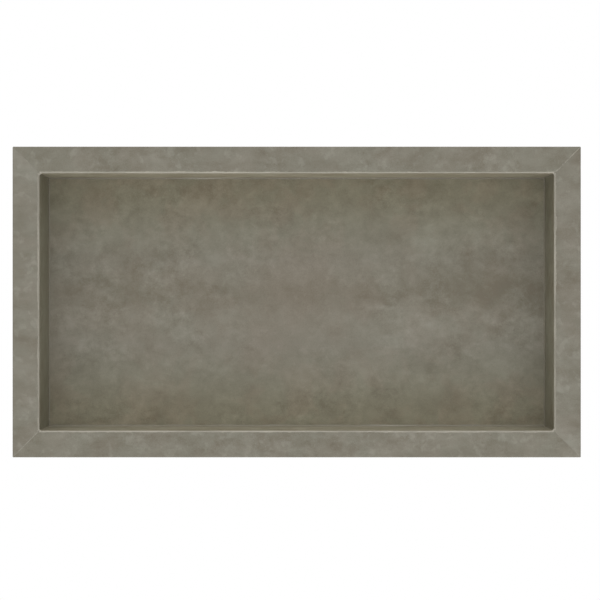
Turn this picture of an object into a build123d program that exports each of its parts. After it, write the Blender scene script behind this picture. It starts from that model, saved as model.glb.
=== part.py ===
from build123d import *

import os
from math import floor, sqrt

# Recessed shower niche, glued up from slabs of porcelain tile.
#
# Half of a square tile is the back panel. Four strips stand round its edges as the walls, and four
# narrower strips make the flat frame that covers the cut edge of the hole in the wall. Every meeting
# edge is cut at 45 degrees and set in resin, and the edge of the opening is ground to a narrow flat
# once the resin is hard.
#
# Frame: +X right and +Z up for someone who faces the niche, +Y into the wall. The origin is the middle
# of the opening in the plane of the finished wall, which is the back of the frame. Millimetres.

# The opening and the slabs
opening_width = 600.0
opening_height = 300.0
recess_depth = 70.0  # from the front of the frame to the face of the back panel
tile_thickness = 9.0
frame_width = 31.0

# The joints and the edges
resin_gap = 0.8  # thickness of every resin joint
arris_flat = 2.0  # reach of the ground flat from the opening's edge, over the frame and down the wall
edge_ease = 0.8  # chamfer on the outer edge of the frame's face
cove_leg = 1.6  # bead wiped into the corner round the back panel

# The ribbed underside of the tile, which keys it to the mortar
rib_pitch = 15.0
groove_width = 9.0
groove_depth = 0.6
edge_land = 3.0  # the least plain width beside an edge

# What follows from them
half_width = opening_width / 2
half_height = opening_height / 2
front_y = -tile_thickness
wall_depth = recess_depth + tile_thickness
panel_width = opening_width - 2 * resin_gap
panel_height = opening_height - 2 * resin_gap
bevel_shift = resin_gap / sqrt(2)  # what half a joint takes from a bevel, measured along the tile's face

RIGHT = Vector(1, 0, 0)
DEPTH = Vector(0, 1, 0)
UP = Vector(0, 0, 1)
SIDES = {"top": UP, "bottom": -UP, "left": -RIGHT, "right": RIGHT}
CORNERS = {
    "top_left": (-RIGHT, UP),
    "top_right": (RIGHT, UP),
    "bottom_left": (-RIGHT, -UP),
    "bottom_right": (RIGHT, -UP),
}

# Points of the sections, as (outward from the opening's edge, back from the front of the frame)
flat_front = (arris_flat, 0)
flat_middle = (arris_flat / 2, arris_flat / 2)
flat_inside = (0, arris_flat)
flat_on_frame = ((arris_flat + bevel_shift) / 2, (arris_flat - bevel_shift) / 2)
flat_on_wall = ((arris_flat - bevel_shift) / 2, (arris_flat + bevel_shift) / 2)
heel_of_frame = (tile_thickness + bevel_shift, tile_thickness)
heel_of_wall = (tile_thickness, tile_thickness + bevel_shift)
heel_middle = (tile_thickness + bevel_shift / 2, tile_thickness + bevel_shift / 2)
frame_back = (frame_width, tile_thickness)
frame_edge = (frame_width, edge_ease)
frame_front = (frame_width - edge_ease, 0)
wall_end_outside = (tile_thickness, wall_depth)
wall_end_inside = (0, wall_depth)


# Placing

def to_edge(outward):
    """The vector from the middle of the opening to its edge on one side."""
    return outward * abs(outward.dot(Vector(half_width, 0, half_height)))


def side_plane(outward):
    """The plane of a side's section: local x runs outward from the opening, local y back from the front."""
    return Plane(origin=to_edge(outward) + DEPTH * front_y, x_dir=outward, y_dir=DEPTH)


def mitre_ends(outward):
    """The two planes that end a side's slab, each half a joint short of the corner's diagonal."""
    along = outward.cross(DEPTH)
    ends = []
    for neighbour in (along, -along):
        normal = (neighbour - outward).normalized()
        corner = to_edge(outward) + to_edge(neighbour)
        ends.append(Plane(origin=corner - normal * (resin_gap / 2), z_dir=normal))
    return ends


def corner_plane(sideways, upward):
    """The diagonal plane of a corner: local x runs outward along the mitre, local y back from the front."""
    diagonal = (sideways + upward).normalized()
    corner = to_edge(sideways) + to_edge(upward)
    flush = corner - diagonal * (resin_gap / 2)
    return Plane(origin=flush + DEPTH * front_y, x_dir=diagonal, y_dir=DEPTH)


def on_the_diagonal(outline):
    """A section's outline as a mitre shows it, stretched outward by the root of two."""
    return [(outward * sqrt(2), depth) for outward, depth in outline]


def groove_places(start, end):
    """The middles of the grooves between two edges of a slab's back: as many as fit, about the middle."""
    count = floor((end - start - 2 * edge_land - groove_width) / rib_pitch) + 1
    middle = (start + end) / 2
    return [middle + (i - (count - 1) / 2) * rib_pitch for i in range(count)]


def write(piece, name):
    """Names a finished piece and writes its file."""
    piece.part.label = name
    export_step(piece.part, f"parts/{name}.step")


# The tile slabs

def frame_strip(side, outward):
    """One strip of the flat frame, mitred at both ends and bevelled along the opening."""
    outline = [flat_front, flat_on_frame, heel_of_frame, frame_back, frame_edge, frame_front]
    reach = half_width + half_height + frame_width
    with BuildPart() as strip:
        with BuildSketch(side_plane(outward)):
            with BuildLine():
                Polyline(*outline, close=True)
            make_face()
            for place in groove_places(heel_of_frame[0], frame_width):
                with Locations((place, tile_thickness)):
                    Rectangle(groove_width, 2 * groove_depth, mode=Mode.SUBTRACT)
        extrude(amount=reach, both=True)
        for end in mitre_ends(outward):
            split(bisect_by=end, keep=Keep.BOTTOM)
    write(strip, f"frame_{side}")


def wall_strip(side, outward):
    """One wall of the recess, round the edge of the back panel, with its front edge bevelled."""
    outline = [flat_inside, flat_on_wall, heel_of_wall, wall_end_outside, wall_end_inside]
    reach = half_width + half_height + tile_thickness
    with BuildPart() as strip:
        with BuildSketch(side_plane(outward)):
            with BuildLine():
                Polyline(*outline, close=True)
            make_face()
            for place in groove_places(heel_of_wall[1], wall_depth):
                with Locations((tile_thickness, place)):
                    Rectangle(2 * groove_depth, groove_width, mode=Mode.SUBTRACT)
        extrude(amount=reach, both=True)
        for end in mitre_ends(outward):
            split(bisect_by=end, keep=Keep.BOTTOM)
    write(strip, f"wall_{side}")


def back_panel():
    """The half tile that closes the recess, with its ribs to the back."""
    face = Plane.back.offset(front_y + recess_depth)
    with BuildPart() as panel:
        with BuildSketch(face):
            Rectangle(panel_width, panel_height)
        extrude(amount=tile_thickness)
        for place in groove_places(-panel_height / 2, panel_height / 2):
            with BuildSketch(face.offset(tile_thickness)):
                with Locations((0, place)):
                    Rectangle(panel_width, groove_width)
            extrude(amount=-groove_depth, mode=Mode.SUBTRACT)
    write(panel, "back_panel")


# The resin joints

def arris_resin(side, outward):
    """The joint between a frame strip and its wall, whose ground edge runs along the opening."""
    outline = [flat_on_frame, heel_of_frame, heel_of_wall, flat_on_wall]
    reach = half_width + half_height + tile_thickness
    with BuildPart() as joint:
        with BuildSketch(side_plane(outward)):
            with BuildLine():
                Polyline(*outline, close=True)
            make_face()
        extrude(amount=reach, both=True)
        for end in mitre_ends(outward):
            split(bisect_by=end, keep=Keep.BOTTOM)
    write(joint, f"arris_resin_{side}")


def mitre_resin(corner, sideways, upward):
    """The joint across a corner of the frame."""
    outline = [flat_front, flat_middle, heel_middle, heel_of_frame, frame_back, frame_edge, frame_front]
    with BuildPart() as joint:
        with BuildSketch(corner_plane(sideways, upward)):
            with BuildLine():
                Polyline(*on_the_diagonal(outline), close=True)
            make_face()
        extrude(amount=resin_gap / 2, both=True)
    write(joint, f"mitre_resin_{corner}")


def corner_resin(corner, sideways, upward):
    """The joint between two walls, down the depth of the recess."""
    outline = [flat_inside, flat_middle, heel_middle, heel_of_wall, wall_end_outside, wall_end_inside]
    with BuildPart() as joint:
        with BuildSketch(corner_plane(sideways, upward)):
            with BuildLine():
                Polyline(*on_the_diagonal(outline), close=True)
            make_face()
        extrude(amount=resin_gap / 2, both=True)
    write(joint, f"corner_resin_{corner}")


def back_panel_resin():
    """The joint round the back panel's edge, with the bead wiped into the corner in front of it."""
    face = Plane.back.offset(front_y + recess_depth)
    with BuildPart() as joint:
        with BuildSketch(face.offset(-cove_leg)) as outside:
            Rectangle(opening_width, opening_height)
            chamfer(outside.vertices(), length=bevel_shift)
        extrude(amount=cove_leg + tile_thickness)
        with BuildSketch(face):
            Rectangle(panel_width, panel_height)
        extrude(amount=tile_thickness, mode=Mode.SUBTRACT)
        with BuildSketch(face):
            Rectangle(opening_width - 2 * cove_leg, opening_height - 2 * cove_leg)
        extrude(amount=-cove_leg, taper=-45, mode=Mode.SUBTRACT)
    write(joint, "back_panel_resin")


os.makedirs("parts", exist_ok=True)
back_panel()
back_panel_resin()
for side, outward in SIDES.items():
    wall_strip(side, outward)
    frame_strip(side, outward)
    arris_resin(side, outward)
for corner, (sideways, upward) in CORNERS.items():
    corner_resin(corner, sideways, upward)
    mitre_resin(corner, sideways, upward)
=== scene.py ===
from collections import namedtuple

import bpy
import numpy as np
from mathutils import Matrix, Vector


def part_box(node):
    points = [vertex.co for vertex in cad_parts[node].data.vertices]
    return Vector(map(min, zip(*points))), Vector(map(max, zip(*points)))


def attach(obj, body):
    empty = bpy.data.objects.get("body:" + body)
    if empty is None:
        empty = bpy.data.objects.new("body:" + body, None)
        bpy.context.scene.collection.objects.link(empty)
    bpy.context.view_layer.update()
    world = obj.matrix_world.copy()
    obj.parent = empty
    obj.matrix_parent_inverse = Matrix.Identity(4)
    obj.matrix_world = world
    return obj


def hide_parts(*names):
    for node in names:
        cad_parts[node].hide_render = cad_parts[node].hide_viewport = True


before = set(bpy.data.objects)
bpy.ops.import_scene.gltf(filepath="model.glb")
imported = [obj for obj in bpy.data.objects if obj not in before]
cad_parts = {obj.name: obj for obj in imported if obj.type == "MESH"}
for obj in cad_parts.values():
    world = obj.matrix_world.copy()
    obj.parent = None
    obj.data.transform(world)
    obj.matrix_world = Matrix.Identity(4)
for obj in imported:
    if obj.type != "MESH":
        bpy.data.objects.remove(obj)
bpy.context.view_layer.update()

# The back panel
# Half of a square porcelain tile: pressed clay powder, printed with a cloudy cement look, fired and sawn in
# two. It closes the recess with its printed face to the room and its ribbed underside to the mortar.

MM = 0.001  # shapes are worked out in millimetres, and meshes are in metres


def corners_mm(node):
    """The lowest and highest corner of a solid, in millimetres."""
    low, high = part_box(node)
    return np.array(low) / MM, np.array(high) / MM


panel_low, panel_high = corners_mm("back_panel")
opening_high = corners_mm("back_panel_resin")[1]
half_width, half_height = opening_high[0], opening_high[2]
tile_thickness = panel_high[1] - panel_low[1]
joint = opening_high[0] - panel_high[0]  # thickness of every resin joint

rib_pitch = 15.0
groove_width = 9.0
groove_depth = 0.6
groove_draft = 0.5  # how far a groove's side leans
edge_land = 3.0  # the least plain width beside an edge


def ribbed_line(start, end):
    """The line of a ribbed back from edge to edge, as (place, sunk): flat lands with shallow grooves
    between them, as many as fit, about the middle."""
    count = int((end - start - 2 * edge_land - groove_width) // rib_pitch) + 1
    middles = (start + end) / 2 + (np.arange(count) - (count - 1) / 2) * rib_pitch
    lip, floor = groove_width / 2, groove_width / 2 - groove_draft
    places = (middles[:, None] + np.array([-lip, -floor, floor, lip])).ravel()
    sunk = np.tile([0, groove_depth, groove_depth, 0], count)
    return np.stack([places, sunk], 1)


def stepped(outline, spacing):
    """Points along a closed outline, each edge divided evenly into steps of about the spacing, and for
    each point the number of the edge that it lies on."""
    corners = np.array(outline, float)
    along = np.roll(corners, -1, axis=0) - corners
    counts = np.maximum(1, np.round(np.hypot(*along.T) / spacing)).astype(int)
    edge = np.repeat(np.arange(len(corners)), counts)
    first = np.repeat(np.cumsum(counts) - counts, counts)
    share = (np.arange(len(edge)) - first) / counts[edge]
    return corners[edge] + along[edge] * share[:, None], edge


MAP_FOOT = 0.05  # the lowest part of a map for the bake, which holds the two ends of a piece
SHARP_BEND = 0.5  # radians, the least bend between two faces that shows as an edge


def unrolled(grid, steps):
    """The map for the bake of a carried section: its surface rolled out flat and cut into rows, which fill
    a square above the foot. Gives the map's four points for each quad, and for each point of the section
    its share of the way round."""
    girth = np.linalg.norm(np.roll(grid, -1, axis=0) - grid, axis=2).mean(1)
    length = np.linalg.norm(np.roll(grid, -1, axis=1) - grid, axis=2)[:, :steps].mean(0)
    rows = max(1, round((length.sum() / girth.sum()) ** 0.5))
    height = np.concatenate([[0], np.cumsum(girth)])[:, None] / girth.sum()
    run = np.concatenate([[0], np.cumsum(length)]) / length.sum() * rows
    row = np.minimum((run[:-1] + run[1:]) / 2, rows - 0.5).astype(int)
    start = np.array([run[:-1][row == number].min() for number in range(rows)])
    width = np.array([run[1:][row == number].max() for number in range(rows)]) - start
    side_gap, row_gap = 0.004, 0.01  # what is left free beside a row, and above and below it

    def on_map(run, height):
        across = side_gap + (1 - 2 * side_gap) * (run - start[row]) / width[row]
        upward = MAP_FOOT + (1 - MAP_FOOT) * (row + row_gap + (1 - 2 * row_gap) * height) / rows
        return np.stack(np.broadcast_arrays(across, upward), -1)

    left, right, low, high = run[:-1], run[1:], height[:-1], height[1:]
    corners = [on_map(left, low), on_map(left, high), on_map(right, high), on_map(right, low)]
    return np.stack(corners, 2).reshape(-1, 4, 2), height[:-1, 0]


def carried(name, grid, masks, closed=False):
    """A solid made by carrying a closed section along a path. grid[i, j] is point i of the section at
    station j, in millimetres. Quads join neighbours both ways; the ends get one polygon each, unless the
    path is closed on itself. Each mask gives a number for each edge of the section, or for each edge and
    each step of the path, kept on its faces."""
    around, stations = grid.shape[:2]
    steps = stations if closed else stations - 1
    index = np.arange(around * stations).reshape(around, stations)
    onward = np.roll(index, -1, axis=0)
    quads = np.stack([index, onward, np.roll(onward, -1, axis=1), np.roll(index, -1, axis=1)], -1)
    quads = quads[:, :steps].reshape(-1, 4)
    points = grid.reshape(-1, 3)
    a, b, c, d = (points - points.mean(0))[quads].transpose(1, 0, 2)
    outward = 1 if (a * (np.cross(b, c) + np.cross(c, d))).sum() > 0 else -1  # the sign of its volume
    faces = quads[:, ::outward].tolist()
    flat, share = unrolled(grid, steps)
    flat = flat[:, ::outward].reshape(-1, 2)
    if not closed:
        turn = 2 * np.pi * share
        disc_middle, disc_radius = 0.4 * MAP_FOOT, 0.36 * MAP_FOOT
        disc = disc_middle + disc_radius * np.stack([np.cos(turn), np.sin(turn)], 1)
        faces += [index[::-outward, 0].tolist(), index[::outward, -1].tolist()]
        flat = np.concatenate([flat, disc[::-outward], disc[::outward] + (MAP_FOOT, 0)])

    mesh = bpy.data.meshes.new(name)
    mesh.from_pydata((points * MM).tolist(), [], faces)
    mesh.uv_layers.new(name="OFBake").data.foreach_set("uv", flat.astype(np.float32).ravel())
    for mask, values in masks.items():
        numbers = np.zeros(len(faces), np.float32)
        numbers[: len(quads)] = np.broadcast_to(np.reshape(values, (around, -1)), (around, steps)).ravel()
        mesh.attributes.new(mask, "FLOAT", "FACE").data.foreach_set("value", numbers)
    mesh.shade_smooth()
    mesh.set_sharp_from_angle(angle=SHARP_BEND)
    piece = bpy.data.objects.new(name, mesh)
    bpy.context.scene.collection.objects.link(piece)
    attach(piece, "root")
    return piece


def point_mask(piece, mask, values):
    """Keeps a number for each point of a piece's grid, where a mask has to change smoothly."""
    layer = piece.data.attributes.new(mask, "FLOAT", "POINT")
    layer.data.foreach_set("value", values.astype(np.float32).ravel())


class Wire:
    """One output of a material's nodes. Sums, differences and products of wires and numbers add Math
    nodes."""

    def __init__(self, tree, socket=None):
        self.tree = tree
        self.socket = socket

    def make(self, kind, settings=(), inputs=(), output=0):
        """Adds a node: its settings first, then the values or wires of its inputs. Gives one of its
        outputs."""
        node = self.tree.nodes.new("ShaderNode" + kind)
        for name, value in dict(settings).items():
            setattr(node, name, value)
        for name, value in dict(inputs).items():
            if isinstance(value, Wire):
                self.tree.links.new(value.socket, node.inputs[name])
            else:
                node.inputs[name].default_value = value
        return Wire(self.tree, node.outputs[output])

    def feed(self, node, name):
        """Joins this to an input of a node that is there already."""
        self.tree.links.new(self.socket, node.inputs[name])

    def maths(self, operation, first, second):
        """A Math node on two wires or numbers."""
        return self.make("Math", {"operation": operation}, {0: first, 1: second})

    def __add__(self, other):
        return self.maths("ADD", self, other)

    def __sub__(self, other):
        return self.maths("SUBTRACT", self, other)

    def __rsub__(self, other):
        return self.maths("SUBTRACT", other, self)

    def __mul__(self, other):
        return self.maths("MULTIPLY", self, other)

    __radd__ = __add__
    __rmul__ = __mul__

    def between(self, low, high):
        """0 up to low, 1 from high, and a smooth rise between."""
        settings = {"interpolation_type": "SMOOTHSTEP"}
        return self.make("MapRange", settings, {"Value": self, "From Min": low, "From Max": high})

    def mix(self, first, second, way="MIX"):
        """The first colour where this is 0 and the second where it is 1. With MULTIPLY the first is tinted
        by the second. Inputs 6 and 7 and output 2 are the Mix node's colours."""
        settings = {"data_type": "RGBA", "blend_type": way}
        return self.make("Mix", settings, {0: self, 6: first, 7: second}, output=2)

    def moved(self, **inputs):
        """This vector moved, or stretched, by a Mapping node."""
        return self.make("Mapping", {}, {"Vector": self, **inputs})

    def noise(self, size, detail, roughness, distortion=0.0):
        """Cloudy noise over this vector, about 0.5, with lumps of that size in metres."""
        inputs = {"Vector": self, "Scale": 1 / size, "Detail": detail, "Roughness": roughness,
                  "Distortion": distortion}
        return self.make("TexNoise", {}, inputs, "Fac")

    def mask(self, name):
        """The numbers that the mesh keeps under that name, 0 where it has none."""
        return self.make("Attribute", {"attribute_name": name}, output="Fac")


def shade(red, green, blue):
    """A colour as it is seen on a screen, 0 to 255, turned by the sRGB curve into the linear one that a
    shader takes."""
    seen = np.array([red, green, blue]) / 255
    linear = np.where(seen <= 0.04045, seen / 12.92, ((seen + 0.055) / 1.055) ** 2.4)
    return (*linear.tolist(), 1.0)


def bare_material(name):
    """A new material: its shader and the start of its wires."""
    material = bpy.data.materials.new(name)
    material.use_nodes = True
    return material, material.node_tree.nodes["Principled BSDF"], Wire(material.node_tree)


ALONG_X, ALONG_Z = (0.05, 1.0, 1.0), (1.0, 1.0, 0.05)  # which way saw marks are drawn out
EDGE_SHADE_WARMTH = (1.0, 0.98, 0.846, 1.0)  # what the painted shade by the panel's long edges takes out of the print's colour, warming it
DULL, SATIN = 0.84, 0.44  # roughness of sawn or bare tile, and of the printed face


def porcelain(name, cut_from, saw_lines, painted_light_tint, patches=0.12, drawn=0.5):
    """Printed porcelain. cut_from is where on the big tile this slab was cut, so that no two slabs have the
    same clouds, saw_lines is how the marks of the saw are drawn out, the tint scales the slab's colours as
    painted light and shade, for how lit that slab is, patches is how strongly its pale patches show, and
    its smears are 1 / drawn times as long as they are high. The printed face is cloudy and satin, a sawn
    or ground edge shows the paler body, and the underside has traces of the white wash that keeps a tile
    from sticking in the kiln."""
    material, shader, start = bare_material(name)
    place = start.make("TexCoord", output="Object")
    tile = place.moved(Location=cut_from)
    printed, ribbed, print_and_painted_light, painted_edge_shade, calm = map(start.mask, ("printed", "ribbed", "print_and_painted_light", "painted_edge_shade", "calm"))

    # The tone of the print, from dark to light: drawn-out smears, weaker where the print is calm, flecks,
    # stronger where it is lively, pale patches, fine specks, and the slab's bloom mask, which holds its
    # printed clouds together with painted light and shade
    lively = tile.noise(0.05, detail=2.0, roughness=0.5).between(0.34, 0.66) * (1 - calm)
    long_tile = tile.moved(Scale=(drawn, 1.0, 1.0))
    smears = long_tile.noise(0.022, detail=4.0, roughness=0.58, distortion=0.3)
    less_long_tile = tile.moved(Scale=(0.6 + 0.4 * drawn, 1.0, 1.0))
    flecks = less_long_tile.noise(0.010, detail=3.0, roughness=0.56, distortion=0.2)
    pale = tile.noise(0.012, detail=2.0, roughness=0.6, distortion=0.3).between(0.55, 0.70)
    grain = tile.noise(0.0011, detail=2.0, roughness=0.65)
    specks = 0.5 * grain + 0.3 * lively * grain.between(0.58, 0.74) + 0.15 * grain.between(0.26, 0.40)
    middle_tone = 0.065
    smear_strength, fleck_strength = 1.35 - 1.2 * calm, 0.35 + 0.9 * lively
    tone = smear_strength * (smears - 0.5) + fleck_strength * (flecks - 0.5)
    tone = tone + patches * pale + specks + print_and_painted_light + middle_tone

    # Each end of the tone is a cool and an earthy shade, mixed in large patches, and the painted shade
    # warms both
    earth_patches = tile.noise(0.04, detail=3.0, roughness=0.6, distortion=0.4).between(0.36, 0.64)
    earthy = (0.5 + 0.9 * painted_edge_shade) * (earth_patches - 0.5) + 0.9 * calm - 0.15 * painted_edge_shade + 0.38

    def printed_shade(*seen):
        return shade(*np.multiply(seen, painted_light_tint))

    dark = earthy.mix(printed_shade(101.4, 96.5, 81), printed_shade(104.4, 96, 80))
    light = earthy.mix(printed_shade(138.4, 137.5, 126), printed_shade(140.4, 136, 125))
    face = painted_edge_shade.mix(tone.mix(dark, light), EDGE_SHADE_WARMTH, "MULTIPLY")

    # The bare body on cut edges: saw lines and crumbs, cleaner in some places than in others
    lines = place.moved(Scale=saw_lines).noise(0.0012, detail=3.0, roughness=0.6)
    crumbs = tile.noise(0.0009, detail=2.0, roughness=0.7)
    cleaned = place.noise(0.10, detail=2.0, roughness=0.5) - 0.5
    # The bloom mask's printed clouds and painted light and shade show on the body too
    body = (0.6 * lines + 0.4 * crumbs + 0.8 * cleaned + 0.5 * print_and_painted_light).between(0.34, 0.68)
    body = body.mix(shade(138, 134, 122), shade(168, 163.5, 151))

    # The underside: fired clay with white wash on the lands and less of it in the grooves
    powder = tile.noise(0.004, detail=4.0, roughness=0.7)
    wash = tile.noise(0.045, detail=5.0, roughness=0.65, distortion=0.5) * 0.7 + powder * 0.3
    fired = powder.between(0.3, 0.7).mix(shade(148, 140, 126), shade(163, 156, 142))
    under = (wash.between(0.36, 0.66) * ribbed.between(0.3, 1.0)).mix(fired, shade(182, 177, 167))

    underside = ribbed.between(0.1, 0.3)
    underside.mix(printed.mix(body, face), under).feed(shader, "Base Color")
    (DULL - (DULL - SATIN) * printed + 0.12 * smears).feed(shader, "Roughness")
    height = printed * (0.6 * grain + 0.4 * flecks) + (1 - printed) * (0.5 * lines + 0.5 * powder)
    bump = start.make("Bump", {}, {"Height": height, "Distance": 0.10 * MM, "Strength": 0.4})
    bump.feed(shader, "Normal")
    return material


PANEL_CUT = (0.0, 0.0, 0.0)  # where on the big tile the panel was cut
# Painted light and shade: the panel's colours made a little lighter and warmer, as light reflected round
# the recess makes them
PANEL_PAINTED_LIGHT_TINT = (1.016, 1.007, 0.991)
PANEL_DRAWN = 0.75  # its smears are less drawn out than the strips'

# Light and dark clouds of the print, as (x, z, half length, half height, strength). The first group comes
# again turned by half a turn, as the print does.
TURNED_CLOUDS = [
    (-258, 77, 27, 18, 1.9), (-228, 96, 21, 17, 1.2), (-160, 78, 13, 11, -1.6), (-120, 44, 34, 12, 0.6),
    (-88, 80, 19, 15, 1.1), (-85, -50, 10, 17, 0.8), (-155, -75, 18, 14, 1.2), (-197, -96, 27, 16, 1.4),
    (-234, -80, 14, 16, 1.1), (-64, -80, 9, 9, -0.9), (-28, -124, 20, 8, 0.7), (-256, -77, 9, 9, -0.8),
    (-172, -136, 13, 11, -0.8), (-245, 138, 13, 12, -0.7), (-212, -141, 18, 12, 1.9),
    (-207, 140, 19, 12, 1.5), (273, 112, 20, 18, 0.9),
]
LONE_CLOUDS = [
    (-270, -32, 34, 24, 0.9), (-180, -26, 34, 13, 0.6), (140, -28, 44, 22, 0.9), (245, -24, 34, 10, 1.0),
    (211, 18, 34, 32, -2.5), (278, 23, 38, 20, -1.9), (-212, 30, 26, 20, -1.9), (-285, 10, 24, 10, -0.6),
    (-188, 49, 26, 15, -0.8), (-186, -2, 25, 18, -1.1), (106, 77, 20, 14, -0.8), (165, 80, 32, 14, 0.8),
    (-275, -55, 22, 14, 0.8), (125, -50, 34, 12, 0.7), (190, -52, 16, 12, -0.9), (187, -79, 18, 17, 1.0),
    (155, 49, 18, 16, -0.9), (268, -122, 26, 16, 0.8), (0, 132, 300, 14, -0.3),
    (0, 9, 320, 18, -1.9), (0, 90, 300, 22, 1.4), (0, -88, 300, 24, 1.6),
]


def cloud_sum(x, z):
    """The clouds' lightness over the panel: each is a bell over its own ellipse, with ragged edges made by
    two waves each way, 2 to 4 mm high, that push the points about."""
    turned = np.array(TURNED_CLOUDS) * (-1, -1, 1, 1, 1)
    clouds = np.concatenate([TURNED_CLOUDS, turned, LONE_CLOUDS])
    pushed_x = x + 4 * np.sin(z / 7 + x / 31) + 3 * np.sin(z / 3.7 + 2)
    pushed_z = z + 3 * np.sin(x / 9 + z / 23) + 2 * np.sin(x / 4.3 + 1)
    middle_x, middle_z, length, height, strength = clouds.T[:, :, None, None]
    reach = ((pushed_x - middle_x) / length) ** 2 + ((pushed_z - middle_z) / height) ** 2
    return (strength * np.exp(-reach)).sum(0)


def rising(distance, over):
    """0 up to no distance, rising evenly to 1 over the given length."""
    return np.clip(distance / over, 0, 1)


def under_mask(under, sunk):
    """1 on the lands of a ribbed underside, less in its grooves, and 0 elsewhere."""
    return under * (1 - 0.25 * (sunk + np.roll(sunk, -1)) / groove_depth)


SECTION_STEP = 3.0  # millimetres between points round the panel's and the walls' sections
PANEL_STATIONS = 200
panel_outline = np.concatenate([
    [(panel_low[2], panel_low[1]), (panel_high[2], panel_low[1]), (panel_high[2], panel_high[1])],
    ribbed_line(panel_low[2], panel_high[2])[::-1] * (1, -1) + (0, panel_high[1]),
    [(panel_low[2], panel_high[1])],
])
section, edge = stepped(panel_outline, SECTION_STEP)
along = np.linspace(panel_low[0], panel_high[0], PANEL_STATIONS)
grid = np.stack(np.broadcast_arrays(along, section[:, 1:], section[:, :1]), -1)
back_edges = (edge >= 2) & (edge < len(panel_outline) - 1)
masks = {"printed": edge == 0, "ribbed": under_mask(back_edges, panel_high[1] - section[:, 1])}
back_panel = carried("back_panel_tile", grid, masks)

x, z = grid[..., 0], grid[..., 2]
cloud_strength = 0.135
edge_fade = 6.0  # painted light: the print is made a little paler within this of the edges, against their shade
long_edge_painted_light, short_edge_painted_light = 0.15, 0.05
plain, plain_lean, plain_reach = 0.8, 0.5, 75.0  # the plain, earthy patch that leans across the middle
edge_shade_from, edge_shade_over = 52.5, 75.0  # painted shade: the print is made warmer and darker towards the long edges, where the walls shade it
edge_shade_dark = 0.10
painted_edge_shade = rising(np.abs(z) - edge_shade_from, edge_shade_over)
calm = plain * np.exp(-(((x - plain_lean * z) / plain_reach) ** 2) - (z / plain_reach) ** 2)
# The bloom holds the printed clouds, the painted shade towards the long edges and the painted light at all
# edges
print_and_painted_light = cloud_strength * cloud_sum(x, z) - edge_shade_dark * painted_edge_shade
print_and_painted_light += long_edge_painted_light * np.exp((np.abs(z) - half_height) / edge_fade)
print_and_painted_light += short_edge_painted_light * np.exp((np.abs(x) - half_width) / edge_fade)
point_mask(back_panel, "print_and_painted_light", print_and_painted_light)
point_mask(back_panel, "painted_edge_shade", painted_edge_shade)
point_mask(back_panel, "calm", calm)
panel_tile = porcelain("porcelain_back_panel", PANEL_CUT, ALONG_X, PANEL_PAINTED_LIGHT_TINT, drawn=PANEL_DRAWN)
back_panel.data.materials.append(panel_tile)
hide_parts("back_panel")


# The walls of the recess
# Four strips of the same tile, set on edge round the back panel with the print inward. Their ends are
# mitred to each other, and their front edges are bevelled to meet the frame and ground to a flat with it.

front = corners_mm("frame_top")[0][1]
wall_depth = corners_mm("wall_top")[1][1] - front
shift = joint / 2 ** 0.5  # what half a joint takes from a bevel, measured along the tile's face
arris = 2 * (corners_mm("wall_top")[0][1] - front) - shift  # reach of the ground flat
STATION, CLOSE_STATION = 1.5, 0.4  # millimetres between stations along a strip, and by its corners
CLOSE_REACH = 6  # how far from a corner the stations are close

# For each side: its number, the way outward, the way along, the opening's reach and half length, and the
# corners at its two ends
Side = namedtuple("Side", "number out along reach half corners")
SIDES = {
    "top": Side(0, (0, 0, 1), (1, 0, 0), half_height, half_width, ("top_left", "top_right")),
    "bottom": Side(1, (0, 0, -1), (1, 0, 0), half_height, half_width, ("bottom_left", "bottom_right")),
    "left": Side(2, (-1, 0, 0), (0, 0, 1), half_width, half_height, ("bottom_left", "top_left")),
    "right": Side(3, (1, 0, 0), (0, 0, 1), half_width, half_height, ("bottom_right", "top_right")),
}
LONG_SIDES = ("top", "bottom")
INWARD = (0, 1, 0)  # into the wall


def on_side(side, outward, depth, share, trim=shift):
    """Points of a side, from how far they lie outward of the opening and behind the front. The length
    grows with the outward distance, so that both ends lie on the corners' diagonals, short of them by the
    trim."""
    at = SIDES[side]
    place = np.multiply.outer(at.reach + outward, at.out) + np.multiply.outer(front + depth, INWARD)
    return place + np.multiply.outer(share * (at.half + outward - trim), at.along)


def side_shares(side):
    """Shares of a side's length from -1 to 1, a station apart, and closer by the rounded corners."""
    length = 2 * SIDES[side].half
    ends = np.arange(0, CLOSE_REACH, CLOSE_STATION)
    count = int((length - 2 * CLOSE_REACH) / STATION)
    middle = np.linspace(CLOSE_REACH, length - CLOSE_REACH, count)
    return np.concatenate([ends, middle, length - ends[::-1]]) / (length / 2) - 1


def wander(distance, length, seed):
    """A smooth line that wanders about 0, mostly within 1, with swings of about that length: the mean of
    six sine waves of unlike pitch, made larger because they partly cancel."""
    waves, gain = 6, 1.6
    draw = np.random.default_rng(seed)
    pitch = length * draw.uniform(0.6, 1.7, (waves, 1))
    phase = draw.uniform(0, 2 * np.pi, (waves, 1))
    return np.sin(2 * np.pi * distance / pitch + phase).mean(0) * gain


def chips(distance, every, length, depth, seed):
    """How deep an edge is chipped along its length: single bell-shaped nicks, most of them small."""
    draw = np.random.default_rng(seed)
    count = int(np.ptp(distance) / every)
    place = draw.uniform(distance.min(), distance.max(), (count, 1))
    half = length * draw.uniform(0.4, 1.6, (count, 1))
    deep = depth * draw.uniform(0.2, 1.0, (count, 1)) ** 2
    return (deep * np.exp(-(((distance - place) / half) ** 2))).max(0)


ROUNDED = {"top_left": 3.6, "top_right": 2.2, "bottom_left": 2.4, "bottom_right": 3.6}  # corners' radii


def rounded_flat(corner, from_corner):
    """The flat's reach near a corner of the opening. The flat turns the corner as a band of even width
    round an arc, because no block of abrasive gets into the corner, so its reach falls towards it."""
    radius = ROUNDED[corner]
    reach = np.maximum(radius - from_corner, 0)
    return ((radius + arris) ** 2 - reach ** 2) ** 0.5 - radius


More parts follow.
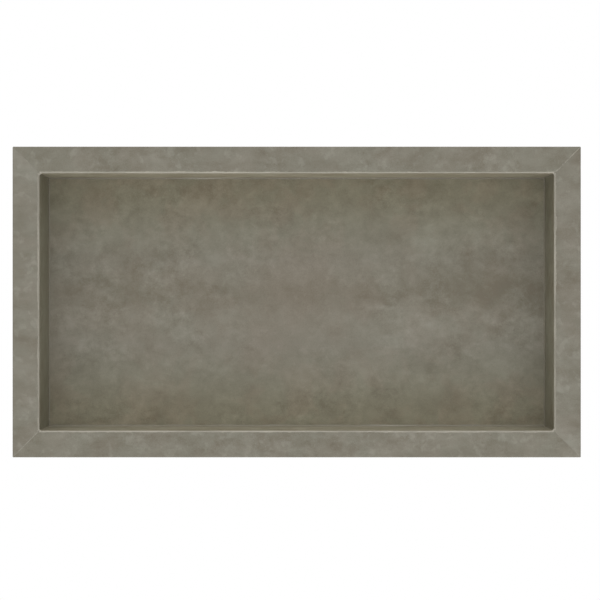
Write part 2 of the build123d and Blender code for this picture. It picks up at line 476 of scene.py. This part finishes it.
EVEN_REACH = 8.0  # within this of a corner the unevenness of hand work dies out
WIDER_TOWARDS = {"top": -1, "bottom": 1}  # the way along the long sides in which the flat widens
wider_from, wider_over, wider_by = 94, 15, 0.4


def ground(side, share):
    """How much wider than nominal the hand-ground flat is along a side. It widens towards the left of the
    top and the right of the bottom, wanders in long and short swings, and turns the corners in arcs."""
    number, half, corners = SIDES[side].number, SIDES[side].half, SIDES[side].corners
    distance = share * half
    from_corner = half - np.abs(distance)
    wide = 0.28 * wander(distance, 45, seed=10 + number) + 0.20 * wander(distance, 8, seed=20 + number)
    if side in LONG_SIDES:
        onward = WIDER_TOWARDS[side] * distance
        wide = wide + wider_by / 2 * (np.tanh((onward - wider_from) / wider_over) - 1)
    first, last = (rounded_flat(corner, from_corner) for corner in corners)
    return np.where(share < 0, first, last) - arris + wide * rising(from_corner, EVEN_REACH)


wall_outline = np.concatenate([
    [(0, arris), ((arris - shift) / 2, (arris + shift) / 2), (tile_thickness, tile_thickness + shift)],
    ribbed_line(tile_thickness + shift, wall_depth)[:, ::-1] * (-1, 1) + (tile_thickness, 0),
    [(tile_thickness, wall_depth), (0, wall_depth)],
])
WALLS = {  # where each was cut, the way of its saw marks, and its tint: painted light on the long walls, painted shade on the short ones
    "top": ((0.4, 0.3, 0.1), ALONG_X, (1.135, 1.12, 1.085)),
    "bottom": ((0.9, 0.2, 0.5), ALONG_X, (1.115, 1.105, 1.07)),
    "left": ((0.3, 0.8, 0.2), ALONG_Z, (0.98, 0.975, 0.925)),
    "right": ((0.6, 1.1, 0.7), ALONG_Z, (0.99, 0.985, 0.935)),
}
section, edge = stepped(wall_outline, SECTION_STEP)
inner, middle = np.flatnonzero(edge == 0)[0], np.flatnonzero(edge == 1)[0]  # the flat's two edges
face_edge = len(wall_outline) - 1
back_edges = (edge >= 2) & (edge < face_edge - 1)
masks = {"printed": edge == face_edge, "ribbed": under_mask(back_edges, tile_thickness - section[:, 0])}
# Painted shade and light: the long walls are made a little darker towards their front, where more light
# reaches them, and the short ones darker at the ground flat, where less light falls, and paler towards the
# back.
front_shade_dark, front_shade_reach = -0.26, 18.0
back_painted_light, flat_painted_shade = 0.30, -0.06
long_wall_painted_shade = (edge == face_edge) * front_shade_dark * np.exp(-section[:, 1] / front_shade_reach)
short_wall_painted_light_and_shade = (edge == face_edge) * back_painted_light * (section[:, 1] / wall_depth) ** 2 + flat_painted_shade * (edge < 2)
for side, (cut_from, saw_lines, painted_light_tint) in WALLS.items():
    share = side_shares(side)
    distance = share * SIDES[side].half
    outward, depth = (np.repeat(line[:, None], len(share), 1) for line in section.T)
    wear = ground(side, share)
    nicks = chips(distance, every=9, length=1.6, depth=0.5, seed=30 + SIDES[side].number)
    depth[inner] += wear + nicks * rising(SIDES[side].half - np.abs(distance), EVEN_REACH)
    outward[middle] += wear / 2
    depth[middle] += wear / 2
    masks["print_and_painted_light"] = long_wall_painted_shade if side in LONG_SIDES else short_wall_painted_light_and_shade
    wall = carried(f"wall_{side}_tile", on_side(side, outward, depth, share), masks)
    wall.data.materials.append(porcelain(f"porcelain_wall_{side}", cut_from, saw_lines, painted_light_tint))
    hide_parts(f"wall_{side}")


# The resin round the back panel
# A bead of two-part resin, tinted to the tile, that holds the panel between the walls. It is wiped with a
# finger into a small cove in the corner that shows, and it shrinks back a little at the rear.

PALE = shade(165, 160.5, 147.5)  # the pale resin: on the panel's bead it is painted light, at the corner joints' fronts it is the pale line
MATCHED, MATCHED_SPOTS = shade(115.5, 110.5, 95), shade(126, 121, 105)


def resin(name, colour, spots, spread, size):
    """Cured resin, satin, a little cloudy and pitted. Spots of a second colour, of about that size in
    metres, show where the noise is within the spread, from none to full."""
    material, shader, start = bare_material(name)
    place = start.make("TexCoord", output="Object")
    lumps = place.noise(size, detail=3.0, roughness=0.6)
    pits = place.noise(0.0008, detail=2.0, roughness=0.6)
    cleaned = place.noise(0.10, detail=2.0, roughness=0.5) - 0.5
    cloudy = (place.noise(0.02, detail=3.0, roughness=0.6) + 1.2 * cleaned).between(0.3, 0.7)
    darker = tuple(0.8 * level for level in colour[:3]) + (1.0,)
    tinted = lumps.between(*spread).mix(cloudy.mix(darker, colour), spots)
    start.mask("inside").mix(PALE, tinted).feed(shader, "Base Color")
    (0.40 + 0.25 * cloudy).feed(shader, "Roughness")
    bump = start.make("Bump", {}, {"Height": pits, "Distance": 0.12 * MM, "Strength": 0.35})
    bump.feed(shader, "Normal")
    return material


tinted_resin = resin("tile_coloured_resin", MATCHED, MATCHED_SPOTS, spread=(0.56, 0.70), size=0.006)

cove = 1.6  # legs of the cove
shrunk = 0.45  # how far the bead has sunk at the rear
quarter = np.linspace(0, np.pi / 2, 7)[:, None]  # the turn round a cove or a bead
panel_depth = wall_depth - tile_thickness
joint_light_reach = 24.0
PAINTED_JOINT_LIGHT = {  # painted light and highlight along the joint: where it is brightest, how much all along, how much more at most
    "top": (-112, 0.05, 0.40), "bottom": (118, 0.15, 0.30), "left": (0, 0.07, 0.0), "right": (0, 0.07, 0.0),
}
ring, painted_joint_light = [], []
for side, way in (("top", 1), ("right", -1), ("bottom", -1), ("left", 1)):
    number, half = SIDES[side].number, SIDES[side].half
    share = way * np.linspace(-1, 1, int(half))[:-1]
    distance = share * half
    even = np.ones_like(share)
    fade = 1 - share ** 8  # the four sides meet at the nominal size
    swings = 0.30 * wander(distance, 40, seed=40 + number) + 0.12 * wander(distance, 7, seed=50 + number)
    leg = cove + fade * swings
    sunk = shrunk + 0.2 * fade * wander(distance, 12, seed=60 + number)
    outward = np.concatenate([
        leg * (np.cos(quarter) - 1), np.outer([-joint, -joint, -joint / 2, 0], even),
    ])
    depth = np.concatenate([
        panel_depth + leg * (np.sin(quarter) - 1),
        [panel_depth * even, wall_depth - sunk / 3, wall_depth - sunk, wall_depth - sunk / 3],
    ])
    ring.append(on_side(side, outward, depth, share, trim=0.0))
    # Painted light: the bead is made paler all along against the corner's shade, and paler still where a
    # glint falls
    place, all_along, most = PAINTED_JOINT_LIGHT[side]
    painted_joint_light.append(all_along + most * np.exp(-(((distance - place) / joint_light_reach) ** 2)))
grid = np.concatenate(ring, 1)
inside = np.broadcast_to(1 - np.concatenate(painted_joint_light), grid.shape[:2])
panel_bead = carried("back_panel_resin_bead", grid, {"inside": inside}, closed=True)
panel_bead.data.materials.append(tinted_resin)
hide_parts("back_panel_resin")


# The resin between the walls
# One joint down each inside corner of the recess, the same tinted resin. Inside it is wiped to a small
# cove, wider and ground to the pale line at the front, and outside it stands out in a rough bead.

CORNERS = {  # the side and the end of the opening that meet there
    "top_left": ("left", "top"), "top_right": ("right", "top"),
    "bottom_left": ("left", "bottom"), "bottom_right": ("right", "bottom"),
}


def on_corner(corner, sideways, upward, depth):
    """Points round a corner of the opening, from how far they lie past each of its two sides."""
    side, end = (SIDES[name] for name in CORNERS[corner])
    past_side = np.multiply.outer(side.reach + sideways, side.out)
    past_end = np.multiply.outer(end.reach + upward, end.out)
    return past_side + past_end + np.multiply.outer(front + depth, INWARD)


slim_cove = 1.0  # legs of the cove behind the rounded front
front_reach = 7.0  # how far behind the front the rounding is lost
squeezed = 0.9  # what stands out of the joint behind
tuck = 0.2  # how far the edges of a cove or a filling go into the tile
pale_front, pale_over = 0.4, 2.0  # how deep the front is as pale as the line, and how soon that is lost
for number, corner in enumerate(CORNERS):
    share = np.concatenate([[0, 0.003], np.linspace(0.01, 1, 70)])  # stations, close at the ground front
    even = np.ones_like(share)
    distance = share * wall_depth
    wide = (ROUNDED[corner] - slim_cove) * np.exp(-((distance / front_reach) ** 2))
    swings = 0.2 * wander(distance, 14, seed=70 + number) * rising(distance, EVEN_REACH)
    hollow = slim_cove + wide + swings
    hollow[0] = 0.05  # the first station is the corner's point, from which the ground front fans out
    bead = squeezed + 0.45 * wander(distance, 9, seed=80 + number)
    swell = (shift + bead) * (1 + 0.7 * np.sin(2 * quarter[::-1]))
    reach = float(rounded_flat(corner, 0))
    half = reach / 2
    foot = tile_thickness - shift
    sideways = np.concatenate([
        hollow * (np.cos(quarter) - 1), np.outer([-shift, half - shift, foot], even),
        foot - bead + swell * np.cos(quarter[::-1]), np.outer([tile_thickness, half, 0], even),
    ])
    upward = np.concatenate([
        hollow * (np.sin(quarter) - 1), np.outer([0, half, tile_thickness], even),
        foot - bead + swell * np.sin(quarter[::-1]), np.outer([foot, half - shift, -shift], even),
    ])
    sideways[0] += tuck
    upward[len(quarter) - 1] += tuck
    # Each line begins on the ground flat, at the heel of the bevels, or clear of the frame behind it
    past = np.maximum(sideways, upward)
    begin = np.where(past < half + 0.01, reach - past, np.maximum(past, tile_thickness + shift))
    begin[: len(quarter), 1:] = arris
    depth = begin + share * (wall_depth - begin)
    grid = on_corner(corner, sideways, upward, depth)
    corner_bead = carried(f"corner_resin_{corner}_bead", grid, {})
    inside = np.broadcast_to(rising(distance - pale_front, pale_over), grid.shape[:2])
    point_mask(corner_bead, "inside", inside)
    corner_bead.data.materials.append(tinted_resin)
    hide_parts(f"corner_resin_{corner}")


# The flat frame
# Four narrow strips of tile, print to the room, mitred at the corners. Each is bevelled at the back of its
# inner edge to meet its wall, and its outer edge is eased by hand.

frame_width = corners_mm("frame_top")[1][2] - half_height
edge_ease = 0.8
OPEN_CORNERS = ("top_right", "bottom_left")  # the other two closed tight
OPEN_BREAK, TIGHT_BREAK = 0.40, 0.10  # how far the saw broke the edges of the mitres
break_depth = 0.7  # how deep it broke them
break_reach = 3.0  # how far along a strip the break is felt
frame_step = 1.2  # millimetres between points round a strip's section
frame_patches = 0.3  # the pale patches are stronger than on the other slabs


def nibbled(corner, side, outward):
    """How far the saw broke the front edge of a strip's mitre back along the strip. It wanders in long and
    short swings, and is most just outside the ground flat."""
    seed = 100 + 10 * list(CORNERS).index(corner) + SIDES[side].number
    rough = 0.25 + 0.6 * wander(outward, 7, seed) + 0.35 * wander(outward, 2.4, seed + 4)
    heel = 1.1 * np.exp(-(((outward - arris - 1.5) / 1.5) ** 2))
    return (OPEN_BREAK if corner in OPEN_CORNERS else TIGHT_BREAK) * np.clip(rough + heel, 0, 2)


frame_outline = np.concatenate([
    [(arris, 0), ((arris + shift) / 2, (arris - shift) / 2), (tile_thickness + shift, tile_thickness)],
    ribbed_line(tile_thickness + shift, frame_width) * (1, -1) + (0, tile_thickness),
    [(frame_width, tile_thickness), (frame_width, edge_ease), (frame_width - edge_ease, 0)],
])
LIGHT_ENDS = {  # at which end of its length each strip's print is lighter, and by how much
    "top": (-1, 0.06), "bottom": (1, 0.16), "left": (1, 0.30), "right": (-1, 0.36),
}
light_reach = 28.0  # how far from that end it is lost
FRAME = {  # where each was cut, the way of its saw marks, and its tint: painted light and shade, setting the strip against the recess
    "top": ((0.2, 0.1, 0.9), ALONG_X, (0.936, 0.931, 0.914)),
    "bottom": ((1.3, 0.4, 0.3), ALONG_X, (0.937, 0.932, 0.915)),
    "left": ((0.8, 0.9, 0.6), ALONG_Z, (0.951, 0.946, 0.935)),
    "right": ((0.1, 0.7, 1.2), ALONG_Z, (0.950, 0.942, 0.931)),
}
section, edge = stepped(frame_outline, frame_step)
opens_edge = np.diff(edge, prepend=-1) > 0
kept = opens_edge | (edge > 1)  # the flat and the bevel have no points between
section, edge = section[kept], edge[kept]
first = np.searchsorted(edge, np.arange(len(frame_outline)))
face_edge = len(frame_outline) - 1
ease_edge = face_edge - 1
back_edges = (edge >= 2) & (edge < ease_edge - 1)
eased = edge == ease_edge  # it is sealed with the tile's colour, a little darker
seal_dark = -0.3
masks = {"printed": (edge == face_edge) | eased,
         "ribbed": under_mask(back_edges, tile_thickness - section[:, 1])}
for side, (cut_from, saw_lines, painted_light_tint) in FRAME.items():
    number = SIDES[side].number
    share = side_shares(side)
    distance = share * SIDES[side].half
    outward, depth = (np.repeat(line[:, None], len(share), 1) for line in section.T)
    wear = ground(side, share)
    outward[0] += wear + chips(distance, every=8, length=1.6, depth=0.5, seed=130 + number)
    outward[1] += wear / 2
    depth[1] += wear / 2
    easing = 0.06 * wander(distance, 30, seed=140 + number)
    easing = easing + chips(distance, every=30, length=1.6, depth=0.35, seed=150 + number)
    outward[first[face_edge]] -= easing
    depth[first[ease_edge]] += easing
    trim = np.full_like(outward, shift)
    for end, corner in zip((0, -1), SIDES[side].corners):
        broken = nibbled(corner, side, outward[:, end]) * (1 - rising(depth[:, end], break_depth))
        trim += np.outer(broken, 1 - rising(np.abs(distance - distance[end]), break_reach))
    # The eased edge's seal is darker, and the short strips' ground flats get the same painted shade as the
    # short walls'
    seal_and_painted_shade = seal_dark * eased + (0.0 if side in LONG_SIDES else flat_painted_shade * (edge < 2))
    light_end, light_by = LIGHT_ENDS[side]
    from_end = distance[1:] - light_end * SIDES[side].half
    light = light_by * np.outer(masks["printed"], np.exp(-((from_end / light_reach) ** 2)))
    masks["print_and_painted_light"] = 0.05 * wander(distance[1:], 120, seed=190 + number) + seal_and_painted_shade[:, None] + light
    strip = carried(f"frame_{side}_tile", on_side(side, outward, depth, share, trim), masks)
    strip_tile = porcelain(f"porcelain_frame_{side}", cut_from, saw_lines, painted_light_tint, frame_patches)
    strip.data.materials.append(strip_tile)
    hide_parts(f"frame_{side}")


# The resin in the frame's mitres
# Two corners closed tight and took the tinted resin. The other two broke at the saw and were filled with a
# pale one, which shows as a thin, broken light line.

OPEN, OPEN_SPOTS = shade(146, 142, 129), shade(124, 120, 108)
TIGHT, TIGHT_SPOTS = shade(131, 127, 114.5), shade(150, 146, 133)
open_resin = resin("pale_mitre_resin", OPEN, OPEN_SPOTS, spread=(0.46, 0.58), size=0.006)
tight_resin = resin("tinted_mitre_resin", TIGHT, TIGHT_SPOTS, spread=(0.55, 0.66), size=0.005)
below_face = 0.04  # how far the edges of the filling lie below the tile's face
crown = 0.03  # how far its middle stands above its edges
lost = 0.4  # what broke out of the open corners in the last millimetre
least_depth = 0.1  # of the filling, at its inner end
mitre_start = -0.35  # from the middle of the ground flat
MITRE_STATIONS = 90
for corner, (side, end) in CORNERS.items():
    open_corner = corner in OPEN_CORNERS
    reach = float(rounded_flat(corner, 0))
    past = np.linspace(reach / 2 + mitre_start, frame_width, MITRE_STATIONS)
    top = below_face + np.maximum(reach - past, 0) + np.maximum(past - frame_width + edge_ease, 0)
    if open_corner:
        top = top + lost / (1 + np.exp((frame_width - 1.0 - past) / 0.15))
    back = np.minimum(np.maximum(past, top + least_depth), tile_thickness)
    step = np.minimum(top + break_depth, (top + back) / 2)
    depth = np.stack([top, top - crown, top, step, back, back, step])
    short = past - shift
    short_side, short_end = (short - tuck - nibbled(corner, name, past) for name in (side, end))
    sideways = np.stack([short_end, past - shift / 2, past, past, past, short, short])
    upward = np.stack([past, past - shift / 2, short_side, short, short, past, past])
    grid = on_corner(corner, sideways, upward, depth)
    mitre_bead = carried(f"mitre_resin_{corner}_bead", grid, {"inside": np.ones(len(grid))})
    mitre_bead.data.materials.append(open_resin if open_corner else tight_resin)
    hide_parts(f"mitre_resin_{corner}")


# The resin between frame and walls
# Pale resin in the bevels all round the opening, ground flush with the tile once it was hard, so that its
# edge is part of the light line. Behind the frame it was left as it came out of the joint.

PALE_SPOTS = shade(174, 169.5, 156)
# Painted shade: a darker copy of the pale resin for the short sides, whose flats get less light
SHADED_PALE, SHADED_PALE_SPOTS = shade(162, 157.5, 145), shade(171, 166.5, 153)
spot_spread, spot_size = (0.50, 0.70), 0.012
pale_resin = resin("pale_resin", PALE, PALE_SPOTS, spot_spread, spot_size)
shaded_pale_resin = resin("pale_resin_shaded_short_sides", SHADED_PALE, SHADED_PALE_SPOTS, spot_spread, spot_size)
heel = tile_thickness + shift  # where the bevels end behind the frame
trim = np.array([shift, shift, 0, 0, 0, 0, shift, shift])[:, None]  # the beads meet behind the corners
for side in SIDES:
    number = SIDES[side].number
    share = side_shares(side)
    distance = share * SIDES[side].half
    tile = np.full_like(share, tile_thickness)
    end = np.full_like(share, heel)
    wear = ground(side, share) / 2
    bead = 1.0 + 0.4 * wander(distance, 22, seed=160 + number)
    bead = bead + chips(distance, every=25, length=5, depth=1.4, seed=170 + number)
    swell = bead * (0.55 + 0.25 * wander(distance, 15, seed=180 + number))
    near, far = (arris - shift) / 2 + wear, (arris + shift) / 2 + wear  # the edges on the ground flat
    outward = np.stack([far, end, end + bead, end + swell, tile + swell * 0.7, tile, tile, near])
    depth = np.stack([near, tile, tile, tile + swell * 0.7, end + swell, end + bead, end, far])
    grid = on_side(side, outward, depth, share, trim)
    arris_bead = carried(f"arris_resin_{side}_bead", grid, {"inside": np.ones(len(grid))})
    arris_bead.data.materials.append(pale_resin if side in LONG_SIDES else shaded_pale_resin)
    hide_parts(f"arris_resin_{side}")


# The floor, the light and the camera
# A pale floor well below that fades out to its edge, an even white room, soft boxes above and below the
# niche and behind it, and a small soft disc in front.

floor_reach, floor_level = 2.6, -2.6
floor_fade = 1.2  # from here to its edge the floor fades out
floor_mesh = bpy.data.meshes.new("floor")
floor_mesh.from_pydata(
    [(-floor_reach, -floor_reach, floor_level), (floor_reach, -floor_reach, floor_level),
     (floor_reach, floor_reach, floor_level), (-floor_reach, floor_reach, floor_level)],
    [], [(0, 1, 2, 3)],
)
floor = bpy.data.objects.new("floor", floor_mesh)
bpy.context.scene.collection.objects.link(floor)
paint, shader, start = bare_material("floor_paint")
shader.inputs["Base Color"].default_value = shade(243, 243, 243)
shader.inputs["Roughness"].default_value = 0.9
place = start.make("TexCoord", output="Object").moved(Location=(0, 0, -floor_level))
from_middle = start.make("VectorMath", {"operation": "LENGTH"}, {0: place}, "Value")
from_below = start.make("NewGeometry", output="Backfacing")
unseen = start.maths("MAXIMUM", from_below, from_middle.between(floor_fade, floor_reach))
clear = start.make("BsdfTransparent")
solid = Wire(paint.node_tree, shader.outputs[0])
mixed = start.make("MixShader", {}, {0: unseen, 1: solid, 2: clear})
mixed.feed(paint.node_tree.nodes["Material Output"], "Surface")
floor_mesh.materials.append(paint)

ROOM_LEVEL = 0.33  # the light of the room on the niche; as a background it is plain white
world = bpy.data.worlds.new("white_room")
bpy.context.scene.world = world
world.use_nodes = True
room = Wire(world.node_tree)
seen = room.make("LightPath", output="Is Camera Ray")
mirrored = room.make("LightPath", output="Is Glossy Ray")
through = room.make("LightPath", output="Is Transmission Ray")
shown = room.maths("MAXIMUM", room.maths("MAXIMUM", seen, mirrored), through)
background = world.node_tree.nodes["Background"]
background.inputs["Color"].default_value = (1, 1, 1, 1)
(ROOM_LEVEL + (1 - ROOM_LEVEL) * shown).feed(background, "Strength")

LAMPS = {  # the shape of each, its place, how it is turned, its width and length, and its power
    "light_panel_above": ("RECTANGLE", (0, -1.25, 2.5), (0, 0, 0), (5.0, 2.5), 82.5),
    "light_panel_below": ("RECTANGLE", (0, -1.25, -2.5), (np.pi, 0, 0), (5.0, 2.5), 85.0),
    "light_panel_behind": ("RECTANGLE", (0, 2.5, 0), (-np.pi / 2, 0, 0), (3.0, 3.0), 66.0),
    "light_disc_in_front": ("ELLIPSE", (0, -2.2, 0), (np.pi / 2, 0, 0), (1.15, 1.15), 8.6),
}
for name, (shape, place, turned, (width, length), power) in LAMPS.items():
    lamp = bpy.data.lights.new(name, "AREA")
    lamp.shape = shape
    lamp.size, lamp.size_y = width, length
    lamp.energy = power
    holder = bpy.data.objects.new(name, lamp)
    holder.location = place
    holder.rotation_euler = turned
    holder.visible_camera = False
    bpy.context.scene.collection.objects.link(holder)

PICTURE = 600  # pixels across the photograph
pixel = 1.1647  # millimetres to one of them, at the front of the frame
niche_middle = (296.7, 302.0)  # where the middle of the niche lies in it
camera_distance = 1850.0
lens = bpy.data.cameras.new("camera")
lens.sensor_width = 36
lens.lens = lens.sensor_width * camera_distance / (PICTURE * pixel)
lens.clip_end = 50
camera = bpy.data.objects.new("camera", lens)
aside, above = (PICTURE / 2 - niche_middle[0]) * pixel, (niche_middle[1] - PICTURE / 2) * pixel
camera.location = (aside * MM, (front - camera_distance) * MM, above * MM)
camera.rotation_euler = (np.pi / 2, 0, 0)
bpy.context.scene.collection.objects.link(camera)
bpy.context.scene.camera = camera
bpy.context.scene.view_settings.view_transform = "Standard"
